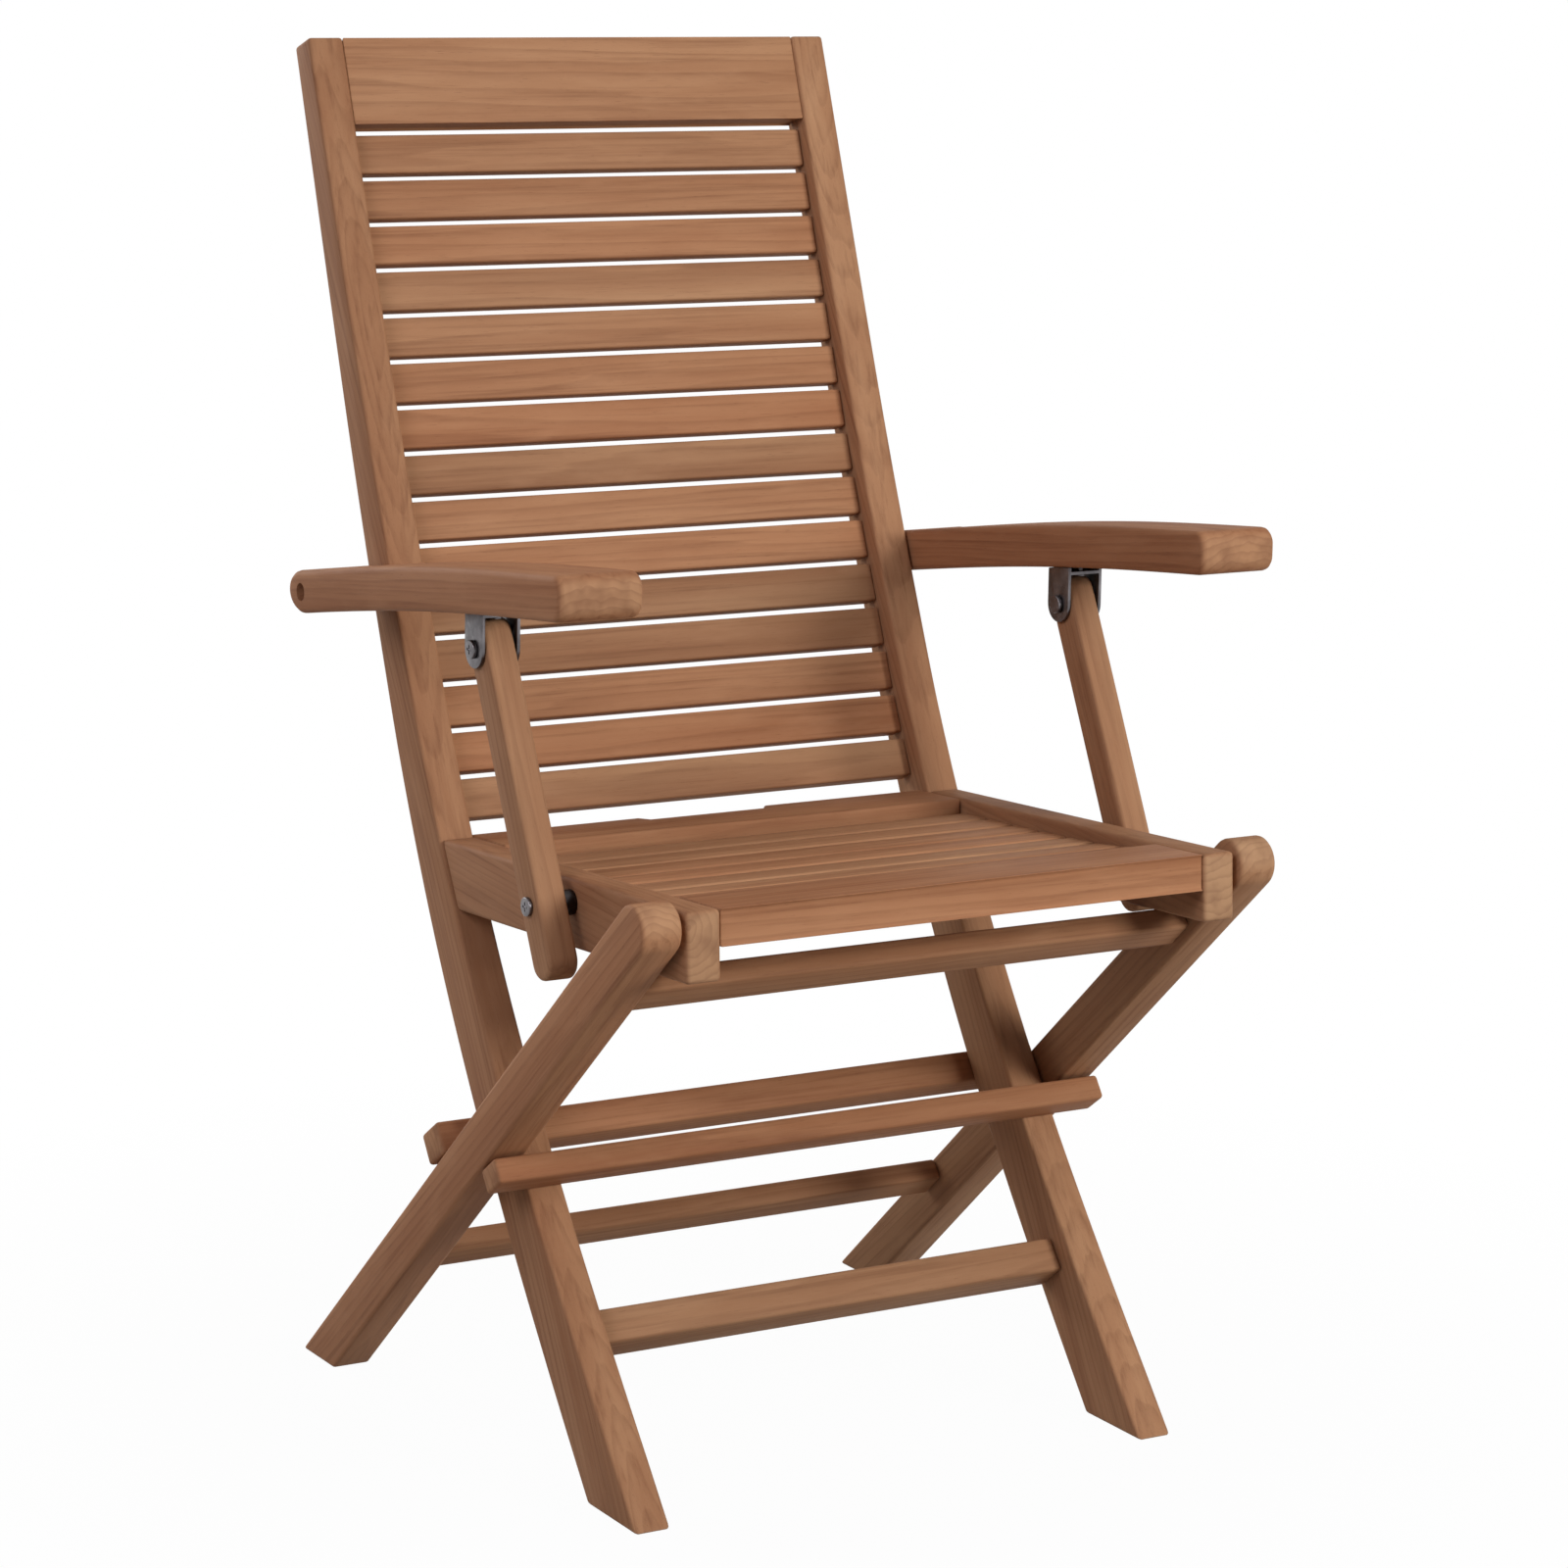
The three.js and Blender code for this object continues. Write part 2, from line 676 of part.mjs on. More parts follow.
function strutOutline() {
  const half = strutDepth / 2;
  const angle = Math.atan2(strutDown.y, strutDown.x);
  const head = strutTop.clone().addScaledVector(strutDown, -strutHead);
  const tail = strutFoot.clone().addScaledVector(strutDown, strutTail - half);
  return [
    ...arcPoints(head, strutTopRadius, angle + Math.PI / 2, angle + (Math.PI * 3) / 2, endSteps),
    ...arcPoints(tail, half, angle - Math.PI / 2, angle + Math.PI / 2, endSteps),
  ];
}

function addStruts() {
  for (const [label, side] of [['left', -1], ['right', 1]]) {
    const cuts = [
      rod(strutTop, bolt.radius + fit, strutInner - overrun, strutOuter + overrun, side),
      rod(strutFoot, bolt.radius + fit, strutInner + fit, strutOuter + overrun, side),
    ];
    addNode(`strut_${label}`, combine(pairedPrism(strutOutline(), strutInner, strutOuter, side), [], cuts), teak);
    const shank = rod(strutFoot, bolt.radius, strutInner + fit * 2, strutOuter + fit * 2, side);
    const head = rod(strutFoot, strutBoltHead.radius, strutOuter + fit, strutOuter + fit + strutBoltHead.tall, side);
    addNode(`strut_bolt_${label}`, combine(shank, [head], []), steel);
  }
}

addBackFrame();
addStopBars();
addRearLegs();
addSeat();
addArms();
addStruts();

// The origin is at the middle of the chair's footprint
const extent = new THREE.Box3().setFromObject(group);
group.position.y = -(extent.min.y + extent.max.y) / 2;
group.updateMatrixWorld(true);

export default group;
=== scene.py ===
"""Looks for the folding teak armchair: eased timber with solid wood grain, brushed steel, a pale floor."""
import json
import math

import bmesh
import bpy
from mathutils import Matrix, Vector

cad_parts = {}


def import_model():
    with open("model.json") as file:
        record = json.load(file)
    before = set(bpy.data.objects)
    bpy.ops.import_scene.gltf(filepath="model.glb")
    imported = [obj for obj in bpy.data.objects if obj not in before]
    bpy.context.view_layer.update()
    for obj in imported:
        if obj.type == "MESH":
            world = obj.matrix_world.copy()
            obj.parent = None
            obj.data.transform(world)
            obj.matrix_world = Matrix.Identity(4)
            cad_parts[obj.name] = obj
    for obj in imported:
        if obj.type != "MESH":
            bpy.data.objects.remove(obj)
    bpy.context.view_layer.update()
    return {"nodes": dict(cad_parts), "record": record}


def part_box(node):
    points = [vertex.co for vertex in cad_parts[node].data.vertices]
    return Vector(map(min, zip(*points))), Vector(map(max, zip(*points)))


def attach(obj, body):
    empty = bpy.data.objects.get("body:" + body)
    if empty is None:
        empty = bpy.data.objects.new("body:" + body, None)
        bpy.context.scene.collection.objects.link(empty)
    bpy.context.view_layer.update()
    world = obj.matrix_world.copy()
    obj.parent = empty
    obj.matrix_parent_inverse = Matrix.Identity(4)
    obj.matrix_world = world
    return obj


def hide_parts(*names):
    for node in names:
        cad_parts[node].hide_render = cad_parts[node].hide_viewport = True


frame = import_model()
MM = 0.001

bodies = frame["record"]["behaviour"]["bodies"]
body_of = {node: body for body, members in bodies.items() for node in members}
slot_of = {entry["node"]: entry["material_slot"] for entry in frame["record"]["subparts"]}
SIDES = (("left", -1), ("right", 1))
CORNERS = ((-1, -1), (1, -1), (1, 1), (-1, 1))
SLATS = sorted(node for node in frame["nodes"] if node.startswith(("back_slat", "seat_slat")))
BARS = (
    "top_rail",
    "front_stretcher",
    "stop_bar_front",
    "stop_bar_rear",
    "upper_stretcher",
    "rear_stretcher",
)

# Widths of the eased edges, and the steps across one on timber and on steel
EASE = 2.8 * MM
LEG_EASE = 3.4 * MM
STRUT_EASE = 3.2 * MM
ARM_EASE = 4.5 * MM
SLAT_EASE = 2 * MM
FRONT_BOARD_EASE = 3 * MM
REAR_BOARD_EASE = 2 * MM
STEEL_EASE = 0.6 * MM
TIMBER_STEPS = 3
STEEL_STEPS = 2

# Curves: the sharpest corners that belong to one, the points added to each span, and a circle's sides
CURVE_ANGLE = math.radians(24)
SMOOTH_ANGLE = math.radians(34)
ADDED_POINTS = 3
CIRCLE_SIDES = 48

# Recesses: the cross in a bolt's head, and the round one that holds the head in an arm
CROSS_REACH = 7 * MM
CROSS_SLOT = 1.5 * MM
CROSS_DEEP = 1.6 * MM
HEAD_GAP = 0.3 * MM
RECESS_BEHIND = 5 * MM
DRILL_PAST = 5 * MM

# How finely the CAD mesh is read: distances in metres, angles in radians, digits of a metre
PLANE_GAP = 0.05 * MM
WELD_GAP = 0.01 * MM
FLAT_ANGLE = math.radians(1)
STRAIGHT_TURN = 1e-5
CURVED_TURN = 1e-4
POINT_DIGITS = 6
PLANE_DIGITS = 5

# A section's corners lie beyond this share of its reach, and each point makes a loop this much taller
CORNER_SHARE = 0.9
LOOP_TIE = 1e-6

# A name becomes a steady share of 1 through these primes, and each use of it has its own salt
SALT_STEP = 7919
SALT_START = 17
LETTER_STEP = 131
SHARE_STEPS = 1000003
SPIN_SALT, DRIFT_SALT, PITH_SALT, START_SALT, ASIDE_SALT, TINT_SALT = range(1, 7)

# Where a board lay in its log: metres, radians for the spin, and metres per metre for the drift
PITH_NEAR = 0.03
PITH_SPREAD = 0.09
ASIDE_SPREAD = 0.05
START_SPREAD = 9.0
SPIN_SPREAD = 0.5
DRIFT_SPREAD = 0.03

# When grain counts as crossing the chair, and how squarely a face has to meet it to show as sawn
ACROSS_CHAIR = 0.5
END_FACING = 0.6
END_SPAN = 0.35
LEAST_AREA = 1e-9

# Growth rings: the slow wave that bends them, their spacing, and their darkness from first wood to last
WAVE_SCALE = (2.2, 22.0, 22.0)
WAVE_DETAIL = 2.0
WAVE_MIDDLE = (0.5, 0.5, 0.5)
WAVE_PUSH = (0.0, 0.022, 0.022)
RINGS_PER_METRE = 165.0
UNEVEN_TURNS = 1.5
RING_DARKNESS = ((0.0, 0.0), (0.55, 0.25), (0.86, 1.0), (0.96, 0.7), (1.0, 0.0))

# Layers of noise in the timber: turns per metre along the grain and across it, detail and roughness
UNEVEN = (0.8, 60.0, 2.0, 0.5)
BANDS = (1.3, 34.0, 3.0, 0.55)
STREAKS = (5.0, 210.0, 4.0, 0.6)
FIBRES = (38.0, 1500.0, 3.0, 0.6)
PORES = (85.0, 2300.0, 2.0, 0.5)
MOTTLE = (9.0, 40.0, 3.0, 0.6)
BLOTCHES = (0.0, 55.0, 2.0, 0.5)

# Where a layer starts and stops to show, and then its strength there or its strengths at both ends
BAND_RANGE = (0.3, 0.7)
RING_BY_STREAK = (0.25, 0.7, 0.12, 0.42)
DARK_STREAKS = (0.52, 0.74, 0.46)
WARM_MOTTLE = (0.52, 0.70, 0.36)
PALE_MOTTLE = (0.47, 0.29, 0.40)
PALE_FIBRES = (0.35, 0.75, 0.16)
PORE_RANGE = (0.66, 0.74)
BLOTCH_RANGE = (0.42, 0.68, 0.0, 0.62)
MAIN_SHARE = 0.36
PORE_SHARE = 0.35
SAWN_RING_SHARE = 0.34
END_SHARE = 0.85

# How boards differ: hue, saturation and lightness, the last by a second number made from the tint
HUES = (0.4965, 0.504)
SATURATIONS = (1.04, 0.97)
LIGHTNESSES = (0.93, 1.07)
TINT_TURNS = 7.3

# Surface of the timber: roughness by fibre and on sawn ends, gloss, and the heights of its relief
FIBRE_ROUGHNESS = (0.2, 0.8, 0.56, 0.70)
END_ROUGHNESS = 0.12
TEAK_GLOSS = 0.09
FIBRE_HEIGHT = 0.5
RING_HEIGHT = 0.35
PORE_DEPTH = 0.8
TEAK_BUMP = 0.35
TEAK_BUMP_DEPTH = 0.25 * MM

# Steel: brush lines as a layer of noise, smudges, and the roughness that both give
BRUSH = (2600.0, 240.0, 3.0, 0.6)
BRUSH_DARK = (0.4, 0.7, 0.35)
BRUSH_ROUGHNESS = (0.3, 0.7, 0.24, 0.38)
SMUDGE = (70.0, 3.0, 0.55)
SMUDGE_RANGE = (0.3, 0.7)
SMUDGE_ROUGHNESS = (0.3, 0.7, 0.0, 0.08)
STEEL_BUMP = 0.2
STEEL_BUMP_DEPTH = 0.05 * MM

# Floor and world: how far the floor reaches, and the two distances between which its white grows full
FLOOR_REACH = 30.0
FLOOR_TONE = (0.38, 0.37, 0.365, 1)
FLOOR_WHITE = (0.35, 1.0, 0.975, 1.0)
WHITE = (1, 1, 1, 1)
WORLD_TONE = (1.0, 0.95, 1.0, 1)
WORLD_STRENGTH = 0.14

# Softboxes: name, place, the point that it faces, length of its sides, watts and colour
SOFTBOXES = (
    ("key", (1.5, -3.2, 1.75), (0, 0, 0.35), 1.2, 90, (1, 1, 1)),
    ("top", (0.4, -0.8, 3.4), (0, 0, 0.4), 2.4, 10, (1, 1, 1)),
    ("fill", (-2.7, -1.3, 2.3), (0, 0, 0.45), 1.5, 36, (0.94, 0.9, 1.0)),
    ("rear", (-1.2, 3.4, 2.0), (0, 0, 0.5), 2.2, 60, (1, 1, 1)),
)

# Camera, fitted to the photograph's corners: focal length in pixels of a 1600-pixel frame
PHOTO_PIXELS = 1600
FOCAL_PIXELS = 4688
CAMERA_AT = (-1.7362, -3.0044, 1.1669)
CAMERA_YAW = math.radians(-30.471)
CAMERA_PITCH = math.radians(9.716)
CAMERA_ROLL = math.radians(0.964)
SHIFT_Y = -0.075
SENSOR = 36.0
CAMERA_REACH = 100.0


# Outlines, as points in the chair's side view


def turn_at(points, i):
    """The angle by which the outline turns at point i."""
    before, here, after = points[i - 1], points[i], points[(i + 1) % len(points)]
    a = (here - before).normalized()
    b = (after - here).normalized()
    return math.acos(max(-1.0, min(1.0, a.dot(b))))


def softened(points):
    """The outline with added points where it follows a curve, and its corners kept."""
    count = len(points)
    curved = [CURVED_TURN < turn_at(points, i) < CURVE_ANGLE for i in range(count)]
    result = []
    for i in range(count):
        j = (i + 1) % count
        p0, p1, p2, p3 = points[i - 1], points[i], points[j], points[(i + 2) % count]
        result.append(p1)
        if not (curved[i] and curved[j]):
            continue
        span = (p2 - p1).length
        near = min(span, (p1 - p0).length)
        far = min(span, (p3 - p2).length)
        out = ((p1 - p0).normalized() + (p2 - p1).normalized()).normalized() * near
        into = ((p2 - p1).normalized() + (p3 - p2).normalized()).normalized() * far
        for k in range(1, ADDED_POINTS + 1):
            t = k / (ADDED_POINTS + 1)
            result.append(
                p1 * (2 * t**3 - 3 * t**2 + 1)
                + out * (t**3 - 2 * t**2 + t)
                + p2 * (3 * t**2 - 2 * t**3)
                + into * (t**3 - t**2)
            )
    return result


def tallness(loop):
    """How tall a closed loop of points stands, and a trace more for each point it has."""
    heights = [p[1] for p in loop]
    return max(heights) - min(heights) + len(loop) * LOOP_TIE


def outer_outline(node, side):
    """The outline of a prism's outer face, read from the CAD node, as points in (y, z)."""
    mesh = frame["nodes"][node].data
    extreme = max(side * v.co.x for v in mesh.vertices)
    edges = {}
    for face in mesh.polygons:
        corners = [mesh.vertices[i].co for i in face.vertices]
        if min(side * c.x for c in corners) < extreme - PLANE_GAP:
            continue
        keys = [(round(c.y, POINT_DIGITS), round(c.z, POINT_DIGITS)) for c in corners]
        for a, b in zip(keys, keys[1:] + keys[:1]):
            edges[(a, b)] = True
    rim = {a: b for a, b in edges if (b, a) not in edges}
    loops = []
    while rim:
        start, here = next(iter(rim.items()))
        del rim[start]
        loop = [start]
        while here != start:
            loop.append(here)
            here = rim.pop(here)
        loops.append(loop)
    points = [Vector(p) for p in max(loops, key=tallness)]
    return [p for i, p in enumerate(points) if turn_at(points, i) > STRAIGHT_TURN]


def shoulder_of(node):
    """Half the visible width of a cross bar: the widest plane at which its full section stands."""
    planes = {}
    for v in frame["nodes"][node].data.vertices:
        if v.co.x > 0:
            planes.setdefault(round(v.co.x, PLANE_DIGITS), []).append(v.co.z)
    spread = {x: max(heights) - min(heights) for x, heights in planes.items()}
    widest = max(spread.values())
    return max(x for x, height in spread.items() if height > widest - PLANE_GAP)


def bar_outline(node, shoulder):
    """The corners of a cross bar's section at its shoulder, as points in (y, z)."""
    at_shoulder = [v.co for v in frame["nodes"][node].data.vertices if abs(v.co.x - shoulder) < PLANE_GAP]
    ring = {(round(p.y, POINT_DIGITS), round(p.z, POINT_DIGITS)) for p in at_shoulder}
    points = [Vector(p) for p in ring]
    centre = sum(points, Vector((0, 0))) / len(points)
    reach = max((p - centre).length for p in points)
    corners = [p for p in points if (p - centre).length > reach * CORNER_SHARE]
    return sorted(corners, key=lambda p: math.atan2(p.y - centre.y, p.x - centre.x))


def longest_way(outline):
    """The direction between the two points of an outline that lie farthest apart."""
    pairs = [(a, b) for a in outline for b in outline]
    a, b = max(pairs, key=lambda pair: (pair[0] - pair[1]).length)
    way = b - a if b.y > a.y else a - b
    return Vector((0, way.x, way.y)).normalized()


def middle_of(low, high):
    """The middle of a box in the side view, as (y, z)."""
    return (low.y + high.y) / 2, (low.z + high.z) / 2


def outer_x(low, high, side):
    """Where a box's outer face lies across the chair."""
    return low.x if side < 0 else high.x


# Solids


def new_piece(name, data):
    """A mesh, a lamp or a camera as an object of the scene."""
    piece = bpy.data.objects.new(name, data)
    bpy.context.scene.collection.objects.link(piece)
    return piece


def piece_from(work, name):
    """The working mesh as a piece of the scene."""
    mesh = bpy.data.meshes.new(name)
    work.to_mesh(mesh)
    work.free()
    return new_piece(name, mesh)


def prism(name, outline, low_x, high_x):
    """A prism across the chair with flat end faces, closed and facing outwards."""
    work = bmesh.new()
    ends = [[work.verts.new((x, p.x, p.y)) for p in outline] for x in (low_x, high_x)]
    work.faces.new(ends[0])
    work.faces.new(list(reversed(ends[1])))
    count = len(outline)
    for i in range(count):
        j = (i + 1) % count
        work.faces.new((ends[0][j], ends[0][i], ends[1][i], ends[1][j]))
    bmesh.ops.recalc_face_normals(work, faces=work.faces)
    return piece_from(work, name)


def cylinder(name, centre, radius, from_x, to_x):
    """A cylinder across the chair, about a centre in (y, z)."""
    angles = [2 * math.pi * i / CIRCLE_SIDES for i in range(CIRCLE_SIDES)]
    y, z = centre
    outline = [Vector((y + radius * math.cos(a), z + radius * math.sin(a))) for a in angles]
    return prism(name, outline, min(from_x, to_x), max(from_x, to_x))


def welded_copy(node):
    """The CAD node's mesh as a working mesh, with the points that lie on one another joined."""
    work = bmesh.new()
    work.from_mesh(frame["nodes"][node].data)
    bmesh.ops.remove_doubles(work, verts=work.verts, dist=WELD_GAP)
    return work


def join_flat_faces(work):
    """Makes one face of neighbouring faces that lie in one plane."""
    bmesh.ops.dissolve_limit(work, angle_limit=FLAT_ANGLE, verts=work.verts, edges=work.edges)


def apply_modifiers(piece):
    """Turns what the piece's modifiers show into its own mesh."""
    bpy.context.view_layer.update()
    shaped = piece.evaluated_get(bpy.context.evaluated_depsgraph_get())
    mesh = bpy.data.meshes.new_from_object(shaped)
    piece.modifiers.clear()
    piece.data = mesh


def eased(piece, width, steps=TIMBER_STEPS):
    """Rounds the piece's edges, apart from the shallow ones along a curve."""
    bevel = piece.modifiers.new("ease", "BEVEL")
    bevel.width = width
    bevel.segments = steps
    bevel.limit_method = "ANGLE"
    bevel.angle_limit = CURVE_ANGLE
    apply_modifiers(piece)


def cut_away(piece, tool):
    """Takes the tool's shape out of the piece, and the tool out of the scene."""
    cut = piece.modifiers.new("cut", "BOOLEAN")
    cut.operation = "DIFFERENCE"
    cut.solver = "EXACT"
    cut.object = tool
    apply_modifiers(piece)
    bpy.data.objects.remove(tool)


def dress(piece, node, material):
    """Smooths the piece, gives it its material and lets it stand for its CAD node."""
    for face in piece.data.polygons:
        face.use_smooth = True
    piece.data.set_sharp_from_angle(angle=SMOOTH_ANGLE)
    piece.data.materials.clear()
    piece.data.materials.append(material)
    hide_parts(node)
    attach(piece, body_of[node])


# Grain: each timber carries its own solid-wood coordinates, so the figure rides with it


def share_of(text, salt):
    """A steady number from 0 to 1 made from a piece's name."""
    total = salt * SALT_STEP + SALT_START
    for letter in text:
        total = (total * LETTER_STEP + ord(letter)) % SHARE_STEPS
    return total / SHARE_STEPS


def offset_of(text, salt, spread):
    """A steady number made from a piece's name, up to half the spread to either side of 0."""
    return (share_of(text, salt) - 0.5) * spread


def store_grain(piece, along):
    """Stores where each point lies in the log: x along the grain, y and z across it, in metres."""
    side = Vector((1, 0, 0)) if abs(along.x) < ACROSS_CHAIR else along.orthogonal().normalized()
    across = along.cross(side)
    spin = offset_of(piece.name, SPIN_SALT, SPIN_SPREAD)
    drift = offset_of(piece.name, DRIFT_SALT, DRIFT_SPREAD)
    aside = offset_of(piece.name, ASIDE_SALT, ASIDE_SPREAD)
    away = PITH_NEAR + PITH_SPREAD * share_of(piece.name, PITH_SALT)
    start = share_of(piece.name, START_SALT) * START_SPREAD
    mesh = piece.data
    middle = sum((v.co for v in mesh.vertices), Vector()) / len(mesh.vertices)
    grain = mesh.attributes.new("GRAIN", "FLOAT_VECTOR", "POINT")
    for i, v in enumerate(mesh.vertices):
        p = v.co - middle
        u = p.dot(along)
        a = p.dot(side) + aside
        b = p.dot(across) + away + u * drift
        turned = (a * math.cos(spin) - b * math.sin(spin), a * math.sin(spin) + b * math.cos(spin))
        grain.data[i].vector = (u + start, turned[0], turned[1])


def store_tint(piece):
    """Stores the number that sets this board's tone apart from the others'."""
    tint = piece.data.attributes.new("TINT", "FLOAT", "POINT")
    tint.data.foreach_set("value", [share_of(piece.name, TINT_SALT)] * len(piece.data.vertices))


def store_ends(piece, along):
    """Stores how far each point lies on a face that is sawn across the grain, from 0 to 1."""
    mesh = piece.data
    values = [0.0] * len(mesh.vertices)
    weights = [LEAST_AREA] * len(mesh.vertices)
    for face in mesh.polygons:
        facing = min(1.0, max(0.0, (abs(face.normal.dot(along)) - END_FACING) / END_SPAN))
        for i in face.vertices:
            values[i] += facing * face.area
            weights[i] += face.area
    ends = mesh.attributes.new("END", "FLOAT", "POINT")
    ends.data.foreach_set("value", [v / w for v, w in zip(values, weights)])


# Materials


class Nodes:
    """A short way to write the node tree of a material or a world."""

    def __init__(self, owner):
        owner.use_nodes = True
        self.tree = owner.node_tree
        self.tree.nodes.clear()

    def fill(self, socket, value):
        """Links a socket to another one, or gives it a plain value."""
        if isinstance(value, bpy.types.NodeSocket):
            self.tree.links.new(value, socket)
        else:
            socket.default_value = value

    def add(self, kind, values=None, **settings):
        node = self.tree.nodes.new(kind)
        for key, value in settings.items():
            setattr(node, key, value)
        for key, value in (values or {}).items():
            self.fill(node.inputs[key], value)
        return node

    def math(self, operation, a, b=0.0):
        return self.add("ShaderNodeMath", {0: a, 1: b}, operation=operation).outputs[0]

    def times(self, a, b):
        return self.math("MULTIPLY", a, b)

    def plus(self, a, b):
        return self.math("ADD", a, b)

    def vectors(self, operation, a, b):
        return self.add("ShaderNodeVectorMath", {0: a, 1: b}, operation=operation).outputs[0]

    def attribute(self, name):
        return self.add("ShaderNodeAttribute", attribute_name=name).outputs

    def noise(self, vector, scale, detail, rough):
        values = {"Vector": vector, "Scale": scale, "Detail": detail, "Roughness": rough}
        return self.add("ShaderNodeTexNoise", values).outputs["Fac"]

    def layer(self, place, along, across, detail, rough):
        """Noise with one scale along the first axis and another across it."""
        return self.noise(self.vectors("MULTIPLY", place, (along, across, across)), 1.0, detail, rough)

    def bump(self, height, strength, depth):
        values = {"Height": height, "Strength": strength, "Distance": depth}
        return self.add("ShaderNodeBump", values).outputs[0]

    def ramp(self, factor, stops):
        """Greys that run from stop to stop."""
        node = self.add("ShaderNodeValToRGB", {"Fac": factor})
        line = node.color_ramp
        while len(line.elements) < len(stops):
            line.elements.new(0.5)
        for element, (place, grey) in zip(line.elements, stops):
            element.position = place
            element.color = (grey, grey, grey, 1.0)
        return node.outputs["Color"]

    def mix(self, factor, a, b):
        """A blend of two colours; sockets 0, 6 and 7 of this node take the factor and the colours."""
        node = self.add("ShaderNodeMix", data_type="RGBA")
        self.fill(node.inputs[0], factor)
        self.fill(node.inputs[6], a)
        self.fill(node.inputs[7], b)
        return node.outputs[2]

    def between(self, value, low, high, to_low=0.0, to_high=1.0):
        """The value's place between low and high, as a number from to_low to to_high."""
        values = {"Value": value, "From Min": low, "From Max": high, "To Min": to_low, "To Max": to_high}
        return self.add("ShaderNodeMapRange", values).outputs["Result"]

    def shown(self, value, low, high, strength):
        """The value's place between low and high, from 0 to 1, times the strength."""
        return self.times(self.between(value, low, high), strength)

    def backdrop_seen(self):
        """1 for rays that show the backdrop straight, mirrored or through glass, and 0 for the rest."""
        path = self.add("ShaderNodeLightPath").outputs
        seen = self.math("MAXIMUM", path["Is Camera Ray"], path["Is Glossy Ray"])
        return self.math("MAXIMUM", seen, path["Is Transmission Ray"])


def srgb(r, g, b):
    """A colour read off as 0 to 255, as Blender's linear values, by the standard curve."""
    linear = ((c / 255 / 12.92) if c <= 10 else ((c / 255 + 0.055) / 1.055) ** 2.4 for c in (r, g, b))
    return (*linear, 1.0)


TEAK_LIGHT = srgb(186, 140, 104)
TEAK_MAIN = srgb(170, 122, 87)
TEAK_WARM = srgb(153, 104, 73)
TEAK_DARK = srgb(116, 74, 51)
TEAK_END = srgb(186, 144, 108)
TEAK_END_DARK = srgb(136, 98, 74)
TEAK_PORE = srgb(86, 54, 38)
STEEL_LIGHT = srgb(124, 120, 122)
STEEL_DARK = srgb(88, 85, 87)
SPACER_LIGHT = srgb(70, 66, 66)
SPACER_DARK = srgb(38, 34, 34)


def late_wood(nodes, grain):
    """The dark of the growth rings, which lie about the log's pith and are bent by slow waves."""
    slow = nodes.vectors("MULTIPLY", grain, WAVE_SCALE)
    wave = nodes.add("ShaderNodeTexNoise", {"Vector": slow, "Scale": 1.0, "Detail": WAVE_DETAIL})
    swing = nodes.vectors("SUBTRACT", wave.outputs["Color"], WAVE_MIDDLE)
    pushed = nodes.vectors("ADD", nodes.vectors("MULTIPLY", swing, WAVE_PUSH), grain)
    parts = nodes.add("ShaderNodeSeparateXYZ", {0: pushed}).outputs
    squares = nodes.plus(nodes.times(parts[1], parts[1]), nodes.times(parts[2], parts[2]))
    radius = nodes.math("SQRT", squares)
    uneven = nodes.layer(grain, *UNEVEN)
    turns = nodes.plus(nodes.times(radius, RINGS_PER_METRE), nodes.times(uneven, UNEVEN_TURNS))
    return nodes.ramp(nodes.math("FRACT", turns), RING_DARKNESS)


def face_colour(nodes, grain, late, fibres, pore):
    """The colour of a board's long faces: bands, rings, streaks, mottling, fibres and pores."""
    bands = nodes.layer(grain, *BANDS)
    streaks = nodes.layer(grain, *STREAKS)
    mottle = nodes.layer(grain, *MOTTLE)
    colour = nodes.mix(nodes.between(bands, *BAND_RANGE), TEAK_WARM, TEAK_LIGHT)
    colour = nodes.mix(MAIN_SHARE, colour, TEAK_MAIN)
    rings = nodes.times(late, nodes.between(streaks, *RING_BY_STREAK))
    colour = nodes.mix(rings, colour, TEAK_DARK)
    colour = nodes.mix(nodes.shown(streaks, *DARK_STREAKS), colour, TEAK_DARK)
    colour = nodes.mix(nodes.shown(mottle, *WARM_MOTTLE), colour, TEAK_WARM)
    colour = nodes.mix(nodes.shown(mottle, *PALE_MOTTLE), colour, TEAK_LIGHT)
    colour = nodes.mix(nodes.shown(fibres, *PALE_FIBRES), colour, TEAK_LIGHT)
    return nodes.mix(nodes.times(pore, PORE_SHARE), colour, TEAK_PORE)


def sawn_colour(nodes, grain, late):
    """The colour of a board's sawn ends: blotches, with the rings cut across."""
    blotches = nodes.layer(grain, *BLOTCHES)
    sawn = nodes.mix(nodes.between(blotches, *BLOTCH_RANGE), TEAK_END, TEAK_END_DARK)
    return nodes.mix(nodes.times(late, SAWN_RING_SHARE), sawn, TEAK_END_DARK)


def board_tone(nodes, colour):
    """The colour, changed slightly from board to board."""
    tint = nodes.attribute("TINT")["Fac"]
    second = nodes.math("FRACT", nodes.times(tint, TINT_TURNS))
    values = {
        "Hue": nodes.between(tint, 0.0, 1.0, *HUES),
        "Saturation": nodes.between(tint, 0.0, 1.0, *SATURATIONS),
        "Value": nodes.between(second, 0.0, 1.0, *LIGHTNESSES),
        "Fac": 1.0,
        "Color": colour,
    }
    return nodes.add("ShaderNodeHueSaturation", values).outputs[0]


